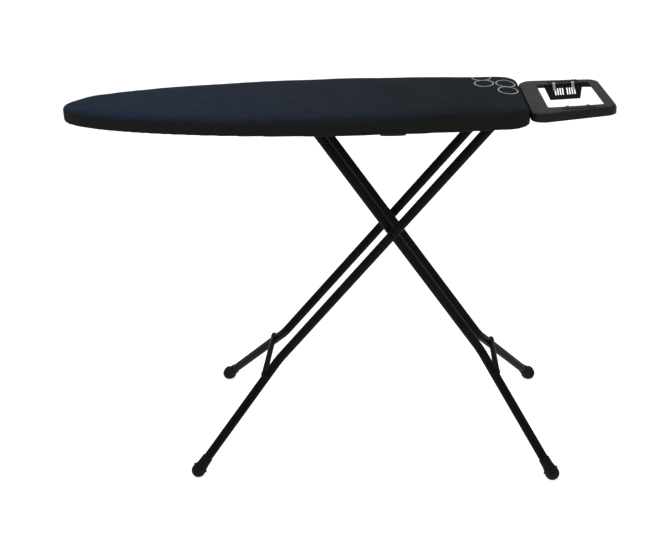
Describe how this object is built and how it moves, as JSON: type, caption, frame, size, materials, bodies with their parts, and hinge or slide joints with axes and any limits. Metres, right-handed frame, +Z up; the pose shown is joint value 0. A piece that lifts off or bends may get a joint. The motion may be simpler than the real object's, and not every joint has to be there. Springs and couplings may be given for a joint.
{
  "type": "ironing board",
  "caption": "Folding ironing board with a padded cloth-covered top, two crossed tubular legs, a slotted height catch with a release lever, and a slatted iron rest at one end.",
  "frame": {"origin": "on the floor, under the middle of the whole length and width", "axes": "+X along the board from the pointed nose to the iron rest, +Y towards the far side, +Z up"},
  "size_m": [1.289, 0.5109, 0.9236],
  "materials": {
    "cover_cloth": "matt",
    "pad_felt": "matt",
    "deck_steel": "satin",
    "black_paint": "satin",
    "foot_rubber": "matt",
    "nylon": "matt",
    "rest_plastic": "fine texture",
    "silicone": "matt",
    "bright_steel": "zinc plated"
  },
  "bodies": {
    "deck": {"board_cover": "cover_cloth", "board_pad": "pad_felt", "deck_panel": "deck_steel", "edge_rail_near": "black_paint", "edge_rail_far": "black_paint", "cross_member_nose": "black_paint", "cross_member_mid": "black_paint", "cross_member_hinge": "black_paint", "cross_member_end": "black_paint", "slide_track_near": "black_paint", "slide_track_far": "black_paint", "hinge_bracket_near": "black_paint", "hinge_bracket_far": "black_paint", "hinge_rod": "bright_steel", "rod_clip_left": "black_paint", "rod_clip_right": "black_paint", "lever_spring": "bright_steel", "iron_rest_tray": "rest_plastic", "rest_strap": "black_paint", "rest_screw_near": "bright_steel", "rest_screw_far": "bright_steel", "heel_guard_near": "rest_plastic", "heel_guard_far": "rest_plastic", "guard_clip_near_left": "bright_steel", "guard_clip_near_right": "bright_steel", "guard_clip_far_left": "bright_steel", "guard_clip_far_right": "bright_steel", "rest_pad_near": "silicone", "rest_pad_far": "silicone"},
    "outer_leg": {"outer_leg_tube_near": "black_paint", "outer_leg_tube_far": "black_paint", "outer_leg_hinge_tube": "black_paint", "outer_leg_brace": "black_paint", "outer_leg_foot_near": "foot_rubber", "outer_leg_foot_far": "foot_rubber", "cross_rivet_near": "black_paint", "cross_rivet_far": "black_paint", "cross_spacer_near": "nylon", "cross_spacer_far": "nylon"},
    "inner_leg": {"inner_leg_tube_near": "black_paint", "inner_leg_tube_far": "black_paint", "inner_leg_slide_bar": "black_paint", "inner_leg_brace": "black_paint", "inner_leg_foot_near": "foot_rubber", "inner_leg_foot_far": "foot_rubber", "slide_roller_near": "nylon", "slide_roller_far": "nylon"},
    "lever": {"release_rod": "bright_steel", "lever_grip": "rest_plastic", "lock_pawl": "bright_steel"}
  },
  "joints": [
    {"name": "outer_leg_hinge", "type": "hinge", "parent": "deck", "child": "outer_leg", "pos_m": [0.39868, 0, 0.89], "axis": [0, 1, 0], "range_deg": [0, 47.21]},
    {"name": "cross_pivot", "type": "hinge", "parent": "outer_leg", "child": "inner_leg", "pos_m": [0.1412, 0, 0.5916], "axis": [0, -1, 0], "range_deg": [0, 101.11]},
    {"name": "release_lever", "type": "hinge", "parent": "deck", "child": "lever", "pos_m": [0.15, -0.128, 0.899], "axis": [1, 0, 0], "range_deg": [0, 12], "stiffness_Nm_per_rad": 0.4, "springref_deg": -17.19}
  ],
  "couplings": [
    {"joint": "cross_pivot", "follows": "outer_leg_hinge", "ratio": 2.1415}
  ]
}
